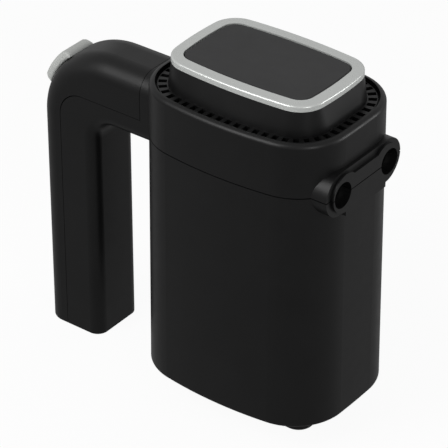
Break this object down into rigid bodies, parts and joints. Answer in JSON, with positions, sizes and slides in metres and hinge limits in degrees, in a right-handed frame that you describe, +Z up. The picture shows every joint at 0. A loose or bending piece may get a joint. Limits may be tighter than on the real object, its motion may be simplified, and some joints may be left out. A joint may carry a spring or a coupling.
{
  "type": "hand mixer",
  "caption": "Cordless hand mixer standing on its heel: boxy body, hook handle with thumb control, vented front cap with framed window, twin beater sockets.",
  "frame": {"origin": "on the floor under the middle of the heel foot", "axes": "+Z up, +X from the handle to the beater sockets, +Y to the far side"},
  "size_m": [0.1844, 0.0832, 0.185],
  "materials": {
    "body_black": "satin black moulded plastic",
    "bezel_silver": "satin silver paint",
    "window_dark": "dark grey tinted window, low gloss",
    "knob_grey": "light grey matte plastic",
    "rubber": "matte rubber",
    "steel": "bright steel",
    "spring_steel": "spring wire",
    "white_nylon": "natural nylon",
    "cast_frame": "die-cast aluminium",
    "bronze": "sintered bronze and copper",
    "core_iron": "laminated iron and ferrite",
    "carbon": "carbon",
    "cell_wrap": "steel cells in plain sleeves",
    "nickel": "nickel strip",
    "circuit_board": "glass-epoxy board",
    "chip_black": "moulded components",
    "led_white": "unlit segments"
  },
  "bodies": {
    "housing": {"rear_housing": "body_black", "front_housing": "body_black", "front_cap": "body_black", "vent_ring": "body_black", "bezel_ring": "bezel_silver", "front_window": "window_dark", "display_board": "circuit_board", "display_digits": "led_white", "display_pins": "white_nylon", "heel_foot": "body_black", "heel_pad": "rubber", "heel_screws": "steel", "handle_shell": "body_black", "handle_cover": "body_black", "handle_screws": "steel", "speed_board": "circuit_board", "ejector_spring": "spring_steel", "gear_frame": "cast_frame", "spindle_bushes": "bronze", "frame_screws": "steel", "motor_screws": "steel", "motor_can": "steel", "motor_endbell": "white_nylon", "motor_bearings": "steel", "motor_magnets": "core_iron", "brushes": "carbon", "battery_cells": "cell_wrap", "battery_tray": "white_nylon", "cell_strips": "nickel", "control_board": "circuit_board", "board_parts": "chip_black", "board_feet": "white_nylon", "charge_inlet": "nickel"},
    "rotor": {"worm_shaft": "steel", "armature": "core_iron", "commutator": "bronze", "fan": "white_nylon"},
    "near_spindle": {"spindle_near": "steel", "gear_near": "white_nylon"},
    "far_spindle": {"spindle_far": "steel", "gear_far": "white_nylon"},
    "speed_slider": {"speed_carriage": "white_nylon", "speed_contact": "bronze", "knob_spring": "spring_steel"},
    "knob": {"thumb_knob": "knob_grey"},
    "ejector": {"ejector_rod": "white_nylon"}
  },
  "joints": [
    {"name": "motor_spin", "type": "hinge", "parent": "housing", "child": "rotor", "pos_m": [0, 0, 0.143], "axis": [0, 0, 1], "continuous": true},
    {"name": "near_spin", "type": "hinge", "parent": "housing", "child": "near_spindle", "pos_m": [0, -0.01845, 0.143], "axis": [1, 0, 0], "continuous": true},
    {"name": "far_spin", "type": "hinge", "parent": "housing", "child": "far_spindle", "pos_m": [0, 0.01845, 0.143], "axis": [1, 0, 0], "continuous": true},
    {"name": "speed", "type": "hinge", "parent": "housing", "child": "speed_slider", "pos_m": [-0.0862, 0, 0.1205], "axis": [0, 1, 0], "range_deg": [-14, 0]},
    {"name": "eject_press", "type": "slide", "parent": "speed_slider", "child": "knob", "axis": [0.809, 0, -0.5878], "range_m": [0, 0.0022], "stiffness_N_per_m": 400, "springref_m": -0.001, "deforming": ["knob_spring"]},
    {"name": "eject_push", "type": "slide", "parent": "housing", "child": "ejector", "axis": [1, 0, 0], "range_m": [0, 0.00273], "deforming": ["ejector_spring"]}
  ],
  "couplings": [
    {"joint": "near_spin", "follows": "motor_spin", "ratio": -0.096774},
    {"joint": "far_spin", "follows": "motor_spin", "ratio": 0.096774},
    {"joint": "eject_push", "follows": "eject_press", "ratio": 1.24}
  ]
}
